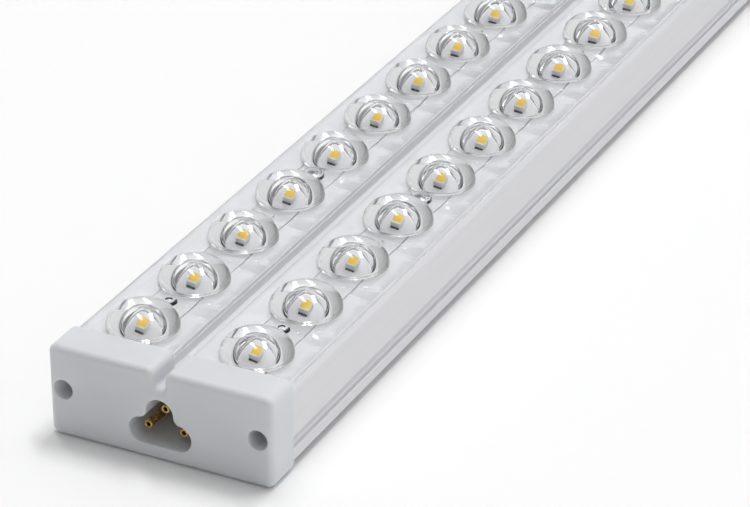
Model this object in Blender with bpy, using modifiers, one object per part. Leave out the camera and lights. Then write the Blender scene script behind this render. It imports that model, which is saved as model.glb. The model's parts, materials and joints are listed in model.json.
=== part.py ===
"""Linkable LED lens batten, 590 mm long: an aluminium extrusion with two rows of clear dome
lenses over LED boards, white end caps with a three-pin cloverleaf inlet and outlet, and the
driver and wiring that the hollow extrusion holds.

Frame: X across the width, Y along the length with the inlet cap at -Y, Z up out of the lenses.
The origin is the middle of the footprint, on the plane that the end caps stand on.
Every size is in millimetres and becomes metres when a mesh is made.
"""
import math

import bmesh
import bpy
from mathutils import Matrix, Vector

MM = 0.001

# ---------------------------------------------------------------- driving dimensions
PITCH = 25.0                # spacing of the lenses along a row
LENSES = 23                 # lenses in each row
END_MARGIN = 20.0           # end face to the first lens axis
LENGTH = 2 * END_MARGIN + PITCH * (LENSES - 1)
HALF = LENGTH / 2
ROW_X = 15.4                # the two rows lie at plus and minus this
GAP = 0.25                  # clearance between parts that touch

CAP_WIDTH, CAP_HEIGHT, CAP_DEPTH = 60.0, 24.3, 10.7
CAP_ROUND = 1.8             # rounding of the cap's outer edges
CAP_WALL = 2.4
CAP_FRONT = 2.8             # thickness of the cap's end wall
BODY_HALF = HALF - CAP_DEPTH - GAP

WALL_X = 29.7               # outer side of the extrusion
BASE_Z = 1.7                # its underside, a little above the cap's feet
DECK_Z = 21.6               # its top face, under the lens strips
BED_Z = 19.75               # floor of the channel that a board lies in
ROOF_Z = 18.3               # top of the hollow
FLOOR_Z = 2.9               # bottom of the hollow
SIDE_X = 28.2               # inner side of the hollow
VALLEY_HALF, VALLEY_Z = 2.1, 19.45

PLATE_HALF = 13.27          # half width of a lens strip
PLATE_Z0, PLATE_Z1 = 21.9, 22.95
DOME_R, DOME_H = 9.0, 6.0
CAVITY_R = 3.5              # air space over each LED
LENS_SIDES, CAVITY_SIDES = 16, 8

BOARD_HALF, BOARD_Z0, BOARD_Z1 = 5.5, 20.0, 21.6
BOARD_END = 287.0           # half length of a board, which reaches into both caps
LED_SIZE = (2.8, 3.5, 0.7)

SCREW_GAPS = (4, 12, 19)    # lens gaps that hold a fixing screw
BOSS_GAPS = (1, 22)         # lens gaps with a small round boss
GATE_GAPS = (3, 8, 15, 20)  # lens gaps with a low moulding gate

PORT_X, PORT_Z = 26.1, 12.8  # screw ports of the extrusion, and the cap screws
PORT_HOLE, PORT_OUTER = 1.35, 2.9

PIN_TOP = (0.0, 12.7)       # earth
PIN_LOW = (4.8, 7.4)        # live at +X, neutral at -X
PIN_TIP, PIN_TAIL = 2.9, 22.0   # distances in from the end face
RECESS_DEPTH = 15.0

DRIVER_START, DRIVER_END = 390.0, 540.0   # along the batten, from the inlet face
DRIVER_TOP = 7.6            # top face of the driver board

# ---------------------------------------------------------------- scene and materials
for old in list(bpy.data.objects):
    bpy.data.objects.remove(old, do_unlink=True)


def new_collection(name):
    """Link an empty collection of this name to the scene."""
    collection = bpy.data.collections.new(name)
    bpy.context.scene.collection.children.link(collection)
    return collection


PARTS = new_collection("led_strip_batten")
CUTTERS = new_collection("cutters")


def material(name, colour, roughness, metallic=0.0):
    """Principled material of one plain colour."""
    made = bpy.data.materials.new(name)
    made.use_nodes = True
    shader = made.node_tree.nodes["Principled BSDF"]
    shader.inputs["Base Color"].default_value = (*colour, 1.0)
    shader.inputs["Roughness"].default_value = roughness
    shader.inputs["Metallic"].default_value = metallic
    made.diffuse_color = (*colour, 1.0)
    return made


ALUMINIUM = material("satin_aluminium", (0.62, 0.62, 0.64), 0.38, 1.0)
CLEAR = material("clear_polycarbonate", (0.80, 0.82, 0.86), 0.08)
WHITE_PLASTIC = material("white_plastic", (0.74, 0.75, 0.77), 0.40)
BOARD_WHITE = material("white_board", (0.82, 0.82, 0.82), 0.50)
BRASS = material("brass", (0.62, 0.42, 0.16), 0.30, 1.0)
STEEL = material("bright_steel", (0.50, 0.50, 0.52), 0.28, 1.0)
BLACK_PLASTIC = material("black_plastic", (0.03, 0.03, 0.03), 0.45)
GREEN_BOARD = material("green_board", (0.03, 0.20, 0.08), 0.45)
GREEN_TERMINAL = material("green_terminal", (0.04, 0.32, 0.14), 0.45)
FILM = material("insulating_tray", (0.70, 0.70, 0.66), 0.50)
YELLOW = material("yellow_tape", (0.80, 0.62, 0.10), 0.50)
BLUE_DISC = material("blue_coating", (0.05, 0.16, 0.55), 0.45)
SLEEVE = material("dark_sleeve", (0.04, 0.05, 0.12), 0.35)
FERRITE = material("ferrite", (0.10, 0.10, 0.10), 0.60)
CERAMIC = material("beige_body", (0.72, 0.64, 0.46), 0.55)
WIRE_BROWN = material("brown_insulation", (0.22, 0.09, 0.04), 0.45)
WIRE_BLUE = material("blue_insulation", (0.05, 0.18, 0.62), 0.45)
WIRE_EARTH = material("green_yellow_insulation", (0.22, 0.50, 0.08), 0.45)
WIRE_RED = material("red_insulation", (0.62, 0.05, 0.04), 0.45)
WIRE_BLACK = material("black_insulation", (0.03, 0.03, 0.03), 0.45)


# ---------------------------------------------------------------- modelling helpers
def mesh_from(bm, name):
    """Store a bmesh as a mesh, with its faces facing out."""
    bmesh.ops.recalc_face_normals(bm, faces=bm.faces)
    mesh = bpy.data.meshes.new(name)
    bm.to_mesh(mesh)
    bm.free()
    return mesh


def part(name, mesh, mat):
    """A named sub-part of the batten."""
    mesh = mesh.copy() if mesh.materials else mesh
    mesh.materials.append(mat)
    made = bpy.data.objects.new(name, mesh)
    PARTS.objects.link(made)
    return made


def tool(name, mesh):
    """A hidden solid that cuts or joins a sub-part."""
    made = bpy.data.objects.new(name, mesh)
    made.display_type = "WIRE"
    made.hide_render = True
    CUTTERS.objects.link(made)
    return made


def combine(target, mesh, operation):
    """Cut a mesh from a sub-part (DIFFERENCE) or join it on (UNION)."""
    modifier = target.modifiers.new(operation.lower(), "BOOLEAN")
    modifier.operation = operation
    modifier.solver = "EXACT"
    modifier.object = tool(f"{target.name}_{len(target.modifiers)}", mesh)


def evaluated(obj):
    """The object's mesh with its modifiers, welded, as a mesh of its own."""
    bpy.context.view_layer.update()
    graph = bpy.context.evaluated_depsgraph_get()
    mesh = bpy.data.meshes.new_from_object(obj.evaluated_get(graph), depsgraph=graph)
    bm = bmesh.new()
    bm.from_mesh(mesh)
    bmesh.ops.remove_doubles(bm, verts=bm.verts, dist=0.002 * MM)
    bmesh.ops.dissolve_degenerate(bm, edges=bm.edges, dist=0.002 * MM)
    bm.to_mesh(mesh)
    bm.free()
    return mesh


def bake(obj):
    """Apply the modifiers of a sub-part, so that copies can share its mesh."""
    mesh = evaluated(obj)
    obj.modifiers.clear()
    obj.data = mesh
    return obj


def share(source, name, matrix):
    """Another object with the same mesh, placed by a matrix."""
    made = bpy.data.objects.new(name, source.data)
    made.matrix_world = matrix
    PARTS.objects.link(made)
    return made


def smooth(obj, degrees=35):
    """Shade round faces smooth and keep sharp edges sharp."""
    obj.data.shade_smooth()
    obj.data.set_sharp_from_angle(angle=math.radians(degrees))
    return obj


def box_mesh(low, high):
    """A plain block between two corners."""
    low, high = Vector(low) * MM, Vector(high) * MM
    bm = bmesh.new()
    bmesh.ops.create_cube(bm, size=1.0)
    bmesh.ops.scale(bm, vec=high - low, verts=bm.verts)
    bmesh.ops.translate(bm, vec=(high + low) / 2, verts=bm.verts)
    return mesh_from(bm, "box")


def rounded_box_mesh(low, high, radius, segments=2):
    """A block with all its edges rounded."""
    bm = bmesh.new()
    bm.from_mesh(box_mesh(low, high))
    bmesh.ops.bevel(bm, geom=bm.edges, offset=radius * MM, segments=segments, profile=0.5,
                    affect="EDGES", clamp_overlap=True)
    return mesh_from(bm, "rounded_box")


def cylinder_mesh(radius, low, high, axis="Z", sides=16):
    """A round bar centred at low[] and high[], the two ends of its axis."""
    low, high = Vector(low), Vector(high)
    turn = {"X": Matrix.Rotation(math.pi / 2, 4, "Y"), "Z": Matrix.Identity(4),
            "Y": Matrix.Rotation(math.pi / 2, 4, "X")}[axis]
    bm = bmesh.new()
    bmesh.ops.create_cone(bm, cap_ends=True, segments=sides, radius1=radius * MM,
                          radius2=radius * MM, depth=(high - low).length * MM, matrix=turn)
    bmesh.ops.translate(bm, vec=(low + high) / 2 * MM, verts=bm.verts)
    return mesh_from(bm, "cylinder")


def prism_mesh(outlines, start, end, axis="Y"):
    """Flat outlines, a hole inside another where they nest, drawn out along Y or Z.

    An outline is in (x, z) for the axis Y and in (x, y) for the axis Z.
    """
    curve = bpy.data.curves.new("outline", "CURVE")
    curve.dimensions = "2D"
    curve.fill_mode = "BOTH"
    curve.extrude = abs(end - start) / 2 * MM
    for outline in outlines:
        spline = curve.splines.new("POLY")
        spline.points.add(len(outline) - 1)
        for point, (u, v) in zip(spline.points, outline):
            point.co = (u * MM, v * MM, 0.0, 1.0)
        spline.use_cyclic_u = True
    flat = bpy.data.objects.new("outline", curve)
    CUTTERS.objects.link(flat)
    mesh = evaluated(flat)
    bpy.data.objects.remove(flat, do_unlink=True)
    middle = (start + end) / 2 * MM
    if axis == "Y":
        place = Matrix.Translation((0, middle, 0)) @ Matrix.Rotation(math.pi / 2, 4, "X")
    else:
        place = Matrix.Translation((0, 0, middle))
    mesh.transform(place)
    return mesh


def turned_mesh(profile, sides, axis="Z", origin=(0, 0, 0)):
    """A solid of revolution from (radius, height) points that run down its outer side."""
    mesh = bpy.data.meshes.new("profile")
    points = [(radius * MM, 0.0, height * MM) for radius, height in profile]
    mesh.from_pydata(points, [(i, i + 1) for i in range(len(points) - 1)], [])
    line = bpy.data.objects.new("profile", mesh)
    CUTTERS.objects.link(line)
    screw = line.modifiers.new("turn", "SCREW")
    screw.axis = "Z"
    screw.steps = sides
    screw.render_steps = sides
    screw.use_merge_vertices = True
    screw.merge_threshold = 0.001 * MM
    solid = evaluated(line)
    bpy.data.objects.remove(line, do_unlink=True)
    turn = {"Z": Matrix.Identity(4), "+Y": Matrix.Rotation(-math.pi / 2, 4, "X"),
            "-Y": Matrix.Rotation(math.pi / 2, 4, "X"),
            "X": Matrix.Rotation(math.pi / 2, 4, "Y")}[axis]
    solid.transform(Matrix.Translation(Vector(origin) * MM) @ turn)
    return solid


def copies_mesh(mesh, places):
    """Copies of one mesh at several places, as one mesh of separate solids."""
    bm = bmesh.new()
    for place in places:
        moved = mesh.copy()
        moved.transform(Matrix.Translation(Vector(place) * MM))
        bm.from_mesh(moved)
        bpy.data.meshes.remove(moved)
    made = bpy.data.meshes.new("copies")
    bm.to_mesh(made)
    bm.free()
    return made


def arc(centre, radius, start, end, steps):
    """Points on an arc between two angles in degrees, both ends included."""
    points = []
    for i in range(steps + 1):
        angle = math.radians(start + (end - start) * i / steps)
        points.append((centre[0] + radius * math.cos(angle), centre[1] + radius * math.sin(angle)))
    return points


def gap_y(gap):
    """Place along Y of the middle of the gap after the given lens, counted from the inlet."""
    return -HALF + END_MARGIN + PITCH * (gap - 0.5)


# ---------------------------------------------------------------- extrusion
def half_outline():
    """Right half of the extrusion's outer section, from the middle of its underside up."""
    outline = [(WALL_X - 1.2, BASE_Z)] + arc((WALL_X - 1.2, BASE_Z + 1.2), 1.2, -60, 0, 2)
    rib, back = WALL_X - 0.2, WALL_X - 0.8
    outline += [(WALL_X, 5.4), (back, 5.4), (back, 6.6), (rib, 6.6), (rib, 7.1),
                (back, 7.9), (back, 8.8), (WALL_X, 8.8), (WALL_X, 20.3),
                (WALL_X - 0.25, 20.8), (ROW_X + PLATE_HALF, DECK_Z)]
    bed_left, bed_right = ROW_X - BOARD_HALF - GAP, ROW_X + BOARD_HALF + GAP
    outline += [(bed_right, DECK_Z), (bed_right, BED_Z), (bed_left, BED_Z), (bed_left, DECK_Z),
                (VALLEY_HALF, DECK_Z), (VALLEY_HALF, VALLEY_Z)]
    return outline


def half_hollow():
    """Right half of the hollow: lightening pockets in the roof, and the open screw port."""
    meet = math.degrees(math.acos((SIDE_X - PORT_X) / PORT_OUTER))
    port = (PORT_X, PORT_Z)
    outline = [(SIDE_X, FLOOR_Z)]
    outline += arc(port, PORT_OUTER, -meet, -152, 6)
    outline += arc(port, PORT_HOLE, -140, 140, 10)
    outline += arc(port, PORT_OUTER, 152, meet, 6)
    outline += [(SIDE_X, 20.1), (22.6, 20.1), (22.6, ROOF_Z), (8.2, ROOF_Z), (8.2, 20.1),
                (3.6, 20.1), (3.6, 18.0)]
    return outline


def both_halves(half):
    """Close a right half outline with its mirror image in the plane X = 0."""
    return half + [(-x, z) for x, z in reversed(half)]


def make_extrusion():
    """One drawn length, open at both ends, drilled for the lens screws."""
    section = [both_halves(half_outline()), both_halves(half_hollow())]
    body = part("extrusion", prism_mesh(section, -BODY_HALF, BODY_HALF), ALUMINIUM)
    hole = cylinder_mesh(1.2, (0, 0, ROOF_Z - 1), (0, 0, BED_Z + 1), sides=10)
    places = [(side * ROW_X, gap_y(gap), 0) for side in (-1, 1) for gap in SCREW_GAPS]
    combine(body, copies_mesh(hole, places), "DIFFERENCE")


# ---------------------------------------------------------------- lens strips
def dome_profile(radius, height, fullness, rings, foot):
    """Profile of a dome from its top to its rim, closed by a foot of the given depth."""
    points = []
    for i in range(rings + 1):
        angle = math.pi / 2 * (1 - i / rings)
        points.append((radius * math.cos(angle) ** (2 / fullness),
                       height * math.sin(angle) ** (2 / fullness)))
    points[0] = (0.0, height)
    points[-1] = (radius, 0.0)
    return points + [(radius, -foot), (0.0, -foot)]


def make_lens_strips():
    """A clear plate with a dome over each LED, hollowed under the domes, and its bosses."""
    low = (ROW_X - PLATE_HALF, -BODY_HALF, PLATE_Z0)
    high = (ROW_X + PLATE_HALF, BODY_HALF, PLATE_Z1)
    strip = part("lens_strip_right", box_mesh(low, high), CLEAR)
    lenses = [(ROW_X, -HALF + END_MARGIN + PITCH * i, PLATE_Z1) for i in range(LENSES)]
    dome = turned_mesh(dome_profile(DOME_R, DOME_H, 2.3, 4, 0.6), LENS_SIDES)
    combine(strip, copies_mesh(dome, lenses), "UNION")

    screw_boss = cylinder_mesh(3.3, (0, 0, -0.5), (0, 0, 1.2), sides=16)
    small_boss = cylinder_mesh(2.0, (0, 0, -0.5), (0, 0, 0.9), sides=12)
    gate = cylinder_mesh(1.6, (0, 0, -0.5), (0, 0, 0.45), sides=10)
    for shape, gaps in ((screw_boss, SCREW_GAPS), (small_boss, BOSS_GAPS), (gate, GATE_GAPS)):
        places = [(ROW_X, gap_y(gap), PLATE_Z1) for gap in gaps]
        combine(strip, copies_mesh(shape, places), "UNION")

    cavity = turned_mesh(dome_profile(CAVITY_R, CAVITY_R, 2.0, 2, 1.0), CAVITY_SIDES)
    under = [(x, y, PLATE_Z0) for x, y, z in lenses]
    combine(strip, copies_mesh(cavity, under), "DIFFERENCE")
    seat = cylinder_mesh(2.5, (0, 0, 22.3), (0, 0, 26.0), sides=14)
    bore = cylinder_mesh(1.4, (0, 0, 21.0), (0, 0, 23.0), sides=10)
    dimple = cylinder_mesh(1.0, (0, 0, 23.3), (0, 0, 25.0), sides=8)
    for shape, gaps in ((seat, SCREW_GAPS), (bore, SCREW_GAPS), (dimple, BOSS_GAPS)):
        combine(strip, copies_mesh(shape, [(ROW_X, gap_y(gap), 0) for gap in gaps]), "DIFFERENCE")
    smooth(bake(strip))
    share(strip, "lens_strip_left", Matrix.Translation((-2 * ROW_X * MM, 0, 0)))


# ---------------------------------------------------------------- LED boards
def make_boards():
    """A narrow board with one LED under each lens, drilled for the screws."""
    low = (ROW_X - BOARD_HALF, -BOARD_END, BOARD_Z0)
    high = (ROW_X + BOARD_HALF, BOARD_END, BOARD_Z1)
    board = part("led_board_right", box_mesh(low, high), BOARD_WHITE)
    wide, long, tall = LED_SIZE
    led = box_mesh((-wide / 2, -long / 2, -0.3), (wide / 2, long / 2, tall))
    leds = [(ROW_X, -HALF + END_MARGIN + PITCH * i, BOARD_Z1) for i in range(LENSES)]
    combine(board, copies_mesh(led, leds), "UNION")
    hole = cylinder_mesh(1.4, (0, 0, BOARD_Z0 - 1), (0, 0, BOARD_Z1 + 1), sides=10)
    combine(board, copies_mesh(hole, [(ROW_X, gap_y(gap), 0) for gap in SCREW_GAPS]), "DIFFERENCE")
    bake(board)
    share(board, "led_board_left", Matrix.Translation((-2 * ROW_X * MM, 0, 0)))


def make_lens_screws():
    """Pan head screws that hold the strips and the boards down on the extrusion."""
    profile = [(0.0, 1.55), (1.3, 1.5), (2.0, 1.1), (2.25, 0.4), (2.25, 0.0), (1.0, 0.0),
               (1.0, -5.0), (0.0, -5.2)]
    for side, row in ((-1, "left"), (1, "right")):
        for number, gap in enumerate(SCREW_GAPS, 1):
            mesh = turned_mesh(profile, 14, origin=(side * ROW_X, gap_y(gap), 22.5))
            smooth(part(f"lens_screw_{row}_{number}", mesh, STEEL), 40)


# ---------------------------------------------------------------- end caps
LOBE_TOP, LOBE_TOP_R = (0.0, 12.9), 3.65
LOBE_LOW, LOBE_LOW_R = (4.9, 7.4), 3.45
LOBE_FILLET = 2.0


def cloverleaf(offset=0.0):
    """Three round lobes, one up, with filleted necks and a flat base, grown by an offset."""
    top_r, low_r = LOBE_TOP_R + offset, LOBE_LOW_R + offset
    fillet = LOBE_FILLET - offset
    top, low = Vector(LOBE_TOP), Vector(LOBE_LOW)
    across = low - top
    reach_top, reach_low = LOBE_TOP_R + LOBE_FILLET, LOBE_LOW_R + LOBE_FILLET
    along = (reach_top ** 2 - reach_low ** 2 + across.length_squared) / (2 * across.length)
    unit = across.normalized()
    outward = Vector((-unit.y, unit.x))
    centre = top + unit * along + outward * math.sqrt(reach_top ** 2 - along ** 2)

    def direction(start, end):
        return math.degrees(math.atan2(end.y - start.y, end.x - start.x))

    right = arc(low, low_r, -90, direction(low, centre), 5)
    right += arc(centre, fillet, direction(centre, low) + 360, direction(centre, top), 3)[1:-1]
    right += arc(top, top_r, direction(top, centre), 90, 3)
    return right + [(-x, z) for x, z in reversed(right[:-1])]


def notch_outline():
    """Slot down from the cap's top edge in line with the valley, with rounded shoulders."""
    half, lip, top = 1.45, 1.8, CAP_HEIGHT
    shoulder = arc((half + lip, top - lip), lip, 180, 90, 4)
    right = [(half, VALLEY_Z)] + shoulder + [(half + lip, top + 2)]
    return right + [(-x, z) for x, z in reversed(right)]


def cap_block():
    """Block of the cap with its face at -Y, rounded along its face and its long edges."""
    bm = bmesh.new()
    bm.from_mesh(box_mesh((-CAP_WIDTH / 2, -HALF, 0), (CAP_WIDTH / 2, -HALF + CAP_DEPTH, CAP_HEIGHT)))
    back = (-HALF + CAP_DEPTH - 0.01) * MM
    soft = [edge for edge in bm.edges if min(vert.co.y for vert in edge.verts) < back]
    bmesh.ops.bevel(bm, geom=soft, offset=CAP_ROUND * MM, segments=3, profile=0.5, affect="EDGES")
    rim = [edge for edge in bm.edges if min(vert.co.y for vert in edge.verts) > back]
    bmesh.ops.bevel(bm, geom=rim, offset=0.3 * MM, segments=1, profile=0.5, affect="EDGES")
    return mesh_from(bm, "cap_block")


def make_caps():
    """The moulded end cap: a cup with screw bosses, a cloverleaf socket sleeve and a notch."""
    cap = part("end_cap_inlet", cap_block(), WHITE_PLASTIC)
    face, back = -HALF, -HALF + CAP_DEPTH
    inner_x = CAP_WIDTH / 2 - CAP_WALL
    pocket = box_mesh((-inner_x, face + CAP_FRONT, 2.2), (inner_x, back + 3, 22.9))
    combine(cap, pocket, "DIFFERENCE")
    bridge = box_mesh((-2.8, face + 1.5, VALLEY_Z - 1.3), (2.8, back, 23.6))
    combine(cap, bridge, "UNION")
    for side, end in ((-1, back), (1, back - 1.0)):
        boss = cylinder_mesh(3.6, (side * PORT_X, face + 1.5, PORT_Z), (side * PORT_X, end, PORT_Z),
                             "Y", 20)
        combine(cap, boss, "UNION")
    tag_space = cylinder_mesh(3.0, (PORT_X, back - 1.0, PORT_Z), (PORT_X, back + 1, PORT_Z), "Y", 18)
    combine(cap, tag_space, "DIFFERENCE")
    combine(cap, prism_mesh([cloverleaf(0.8)], face + 1.5, face + 18.0), "UNION")
    combine(cap, prism_mesh([cloverleaf()], face - 1, face + 19.0), "DIFFERENCE")
    combine(cap, prism_mesh([notch_outline()], face - 1, back + 1), "DIFFERENCE")
    for side in (-1, 1):
        x = side * PORT_X
        wide = cylinder_mesh(2.55, (x, face - 1, PORT_Z), (x, face + 7.2, PORT_Z), "Y", 20)
        narrow = cylinder_mesh(1.6, (x, face - 1, PORT_Z), (x, back + 1, PORT_Z), "Y", 12)
        combine(cap, wide, "DIFFERENCE")
        combine(cap, narrow, "DIFFERENCE")
    smooth(bake(cap), 30)
    share(cap, "end_cap_outlet", Matrix.Rotation(math.pi, 4, "Z"))


def make_cap_screws():
    """Self-tapping screws deep in the caps' holes, in the extrusion's screw ports."""
    profile = [(0.0, 0.4), (0.8, 0.5), (0.8, 1.9), (1.5, 1.8), (2.2, 1.2), (2.3, 0.0), (1.25, 0.0),
               (1.25, -15.0), (0.0, -17.0)]
    for end, name in ((-1, "inlet"), (1, "outlet")):
        for side, hand in ((-1, "left"), (1, "right")):
            head = (side * PORT_X, end * (HALF - 7.0), PORT_Z)
            mesh = turned_mesh(profile, 14, axis="-Y" if end < 0 else "+Y", origin=head)
            smooth(part(f"cap_screw_{name}_{hand}", mesh, STEEL), 40)


# ---------------------------------------------------------------- inlet and outlet
PIN_PLACES = (("live", PIN_LOW), ("neutral", (-PIN_LOW[0], PIN_LOW[1])), ("earth", PIN_TOP))


def holes(target, radius, start, end, sides=12):
    """Drill the three pin positions of a block at the inlet end."""
    for _, (x, z) in PIN_PLACES:
        combine(target, cylinder_mesh(radius, (x, start, z), (x, end, z), "Y", sides), "DIFFERENCE")


def make_inlet():
    """The carrier that closes the socket from behind, and its three hollow tipped pins."""
    face = -HALF
    carrier = part("inlet_pin_carrier",
                   prism_mesh([cloverleaf(0.75)], face + 18.0 + GAP, face + 20.3), WHITE_PLASTIC)
    combine(carrier, prism_mesh([cloverleaf(-GAP)], face + RECESS_DEPTH, face + 19.5), "UNION")
    holes(carrier, 1.35, face + 14, face + 22)
    bake(carrier)
    length = PIN_TAIL - PIN_TIP
    profile = [(0.0, length - 3.0), (0.55, length - 3.0), (0.55, length - 0.1), (0.75, length),
               (0.95, length - 0.1), (1.15, length - 0.45), (1.15, 0.0), (0.0, 0.0)]
    for name, (x, z) in PIN_PLACES:
        mesh = turned_mesh(profile, 14, axis="-Y", origin=(x, face + PIN_TAIL, z))
        smooth(part(f"inlet_pin_{name}", mesh, BRASS), 40)


def make_outlet():
    """The contact block of the outlet end, and its three tubular contacts."""
    face = -HALF
    block = part("outlet_contact_block",
                 prism_mesh([cloverleaf(0.75)], face + 18.0 + GAP, face + 20.3), WHITE_PLASTIC)
    combine(block, prism_mesh([cloverleaf(-0.9)], face + 1.2, face + 19.5), "UNION")
    holes(block, 1.3, face, face + 22)
    holes(block, 1.9, face + 2.7, face + 22, 14)
    bake(block)
    block.matrix_world = Matrix.Rotation(math.pi, 4, "Z")
    length = PIN_TAIL - 3.0
    profile = [(0.0, length - 13.0), (1.2, length - 13.0), (1.2, length), (1.65, length),
               (1.65, 0.0), (0.0, 0.0)]
    for name, (x, z) in PIN_PLACES:
        mesh = turned_mesh(profile, 14, axis="+Y", origin=(x, HALF - PIN_TAIL, z))
        smooth(part(f"outlet_contact_{name}", mesh, BRASS), 40)


def make_earth_tag():
    """Ring terminal clamped under the right cap screw at the inlet, with a crimp barrel."""
    y = -HALF + 10.25
    barrel_x0, barrel_x1 = 15.6, 20.4
    tag = part("earth_tag", cylinder_mesh(2.7, (PORT_X, y - 0.3, PORT_Z), (PORT_X, y + 0.3, PORT_Z),
                                          "Y", 18), STEEL)
    neck = box_mesh((barrel_x1 - 1.0, y - 0.3, PORT_Z - 1.4), (PORT_X, y + 0.3, PORT_Z + 1.4))
    combine(tag, neck, "UNION")
    barrel = cylinder_mesh(1.7, (barrel_x0, y, PORT_Z), (barrel_x1, y, PORT_Z), "X", 14)
    combine(tag, barrel, "UNION")
    bore = cylinder_mesh(1.25, (barrel_x0 - 1, y, PORT_Z), (barrel_x1 - 1.4, y, PORT_Z), "X", 12)
    combine(tag, bore, "DIFFERENCE")
    hole = cylinder_mesh(1.55, (PORT_X, y - 1, PORT_Z), (PORT_X, y + 1, PORT_Z), "Y", 12)
    combine(tag, hole, "DIFFERENCE")


# ---------------------------------------------------------------- driver
def at(x, along, z):
    """A point given by its distance from the inlet face."""
    return (x, along - HALF, z)


def tray_section():
    """Open tray with a ledge along each side that carries the driver board."""
    right = [(18.8, 3.15), (18.8, 15.8), (18.0, 15.8), (18.0, 5.75), (15.4, 5.75), (15.4, 3.95)]
    return right + [(-x, z) for x, z in reversed(right)]


def terminal(name, x_half, start, end, top, poles, radius, entry_from_start, mat):
    """A terminal block with a round wire entry for each pole."""
    low = at(-x_half, start, DRIVER_TOP + GAP)
    high = at(x_half, end, top)
    block = part(name, box_mesh(low, high), mat)
    depth = 4.0
    for x in poles:
        if entry_from_start:
            ends = at(x, start - 1, 11.5), at(x, start + depth, 11.5)
        else:
            ends = at(x, end - depth, 11.5), at(x, end + 1, 11.5)
        combine(block, cylinder_mesh(radius, *ends, "Y", 10), "DIFFERENCE")


def can_profile(radius, length):
    """A capacitor can with a rounded shoulder and a groove near its base."""
    return [(0.0, length), (radius - 0.6, length), (radius, length - 0.6), (radius, 2.2),
            (radius - 0.45, 1.8), (radius, 1.4), (radius, 0.4), (radius - 0.5, 0.0), (0.0, 0.0)]


def make_driver():
    """The tray, the driver board and the parts that stand on it."""
    tray = prism_mesh([tray_section()], DRIVER_START - 2 - HALF, DRIVER_END + 2 - HALF)
    part("driver_tray", tray, FILM)
    base = DRIVER_TOP + GAP
    board = box_mesh(at(-17.6, DRIVER_START + 1, 6.0), at(17.6, DRIVER_END - 1, DRIVER_TOP))
    part("driver_board", board, GREEN_BOARD)
    terminal("input_terminal", 10.2, 392, 400, 16.2, (-7.5, -2.5, 2.5, 7.5), 1.3, True,
             GREEN_TERMINAL)
    terminal("output_terminal", 8.2, 532, 539, 14.2, (-6.0, -2.0, 2.0, 6.0), 0.8, False,
             WHITE_PLASTIC)
    smooth(part("fuse", cylinder_mesh(2.0, at(-13, 404, base + 2.1), at(-13, 415, base + 2.1), "Y",
                                      14), CERAMIC), 40)
    smooth(part("varistor", cylinder_mesh(4.3, at(3, 404, base + 4.4), at(3, 407.6, base + 4.4), "Y",
                                          18), BLUE_DISC), 40)
    part("mains_capacitor",
         rounded_box_mesh(at(-6, 410, base), at(7, 416.5, base + 8.8), 0.5, 1), YELLOW)
    drum = [(0.0, 9.0), (5.6, 9.0), (5.6, 7.8), (4.6, 7.6), (4.6, 1.4), (5.6, 1.2), (5.6, 0.0),
            (0.0, 0.0)]
    smooth(part("mains_choke", turned_mesh(drum, 18, origin=at(-6, 424, base)), FERRITE), 40)
    part("bridge_rectifier", box_mesh(at(6, 421, base), at(12.4, 430, base + 2.8)), BLACK_PLASTIC)
    smooth(part("bulk_capacitor", turned_mesh(can_profile(4.8, 24.0), 18, axis="-Y",
                                              origin=at(0, 464, base + 4.9)), SLEEVE), 40)
    part("controller_chip", box_mesh(at(-13, 468, base), at(-9, 473, base + 1.6)), BLACK_PLASTIC)

    core = part("transformer", box_mesh(at(-8, 478, base + 0.8), at(8, 484, base + 9.2)), FERRITE)
    winding = rounded_box_mesh(at(-5.4, 472.5, base + 1.6), at(5.4, 489.5, base + 8.4), 1.6, 2)
    combine(core, winding, "UNION")
    feet = box_mesh(at(-7.4, 473.5, base), at(7.4, 488.5, base + 2.0))
    combine(core, feet, "UNION")
    bake(core)

    smooth(part("output_diode", cylinder_mesh(2.4, at(7, 497, base + 2.5), at(16, 497, base + 2.5),
                                              "X", 14), BLACK_PLASTIC), 40)
    smooth(part("output_capacitor", turned_mesh(can_profile(4.0, 15.0), 18, axis="-Y",
                                                origin=at(-6, 518, base + 4.1)), SLEEVE), 40)
    smooth(part("output_choke", turned_mesh([(r * 0.75, z) for r, z in drum], 18,
                                            origin=at(8, 513, base)), FERRITE), 40)


# ---------------------------------------------------------------- wiring
def smooth_route(points, step=0.6):
    """Fine points on a smooth curve through the route's own points."""
    points = [Vector(point) for point in points]
    fine = []
    for i in range(len(points) - 1):
        before, start = points[max(i - 1, 0)], points[i]
        end, after = points[i + 1], points[min(i + 2, len(points) - 1)]
        span = (end - start).length
        slope_a = (end - before).normalized() * span
        slope_b = (after - start).normalized() * span
        count = max(2, round(span / step))
        for k in range(count):
            t = k / count
            fine.append(start * (2 * t ** 3 - 3 * t ** 2 + 1) + slope_a * (t ** 3 - 2 * t ** 2 + t)
                        + end * (3 * t ** 2 - 2 * t ** 3) + slope_b * (t ** 3 - t ** 2))
    return fine + [points[-1]]


def thinned(points, tolerance):
    """Drop the points of a fine route that lie within a tolerance of the line they are on."""
    if len(points) < 3:
        return points
    start, line = points[0], points[-1] - points[0]
    away = [(point - start - line * ((point - start).dot(line) / line.length_squared)).length
            for point in points]
    worst = max(range(len(points)), key=away.__getitem__)
    if away[worst] < tolerance:
        return [points[0], points[-1]]
    return thinned(points[:worst + 1], tolerance)[:-1] + thinned(points[worst:], tolerance)


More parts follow.
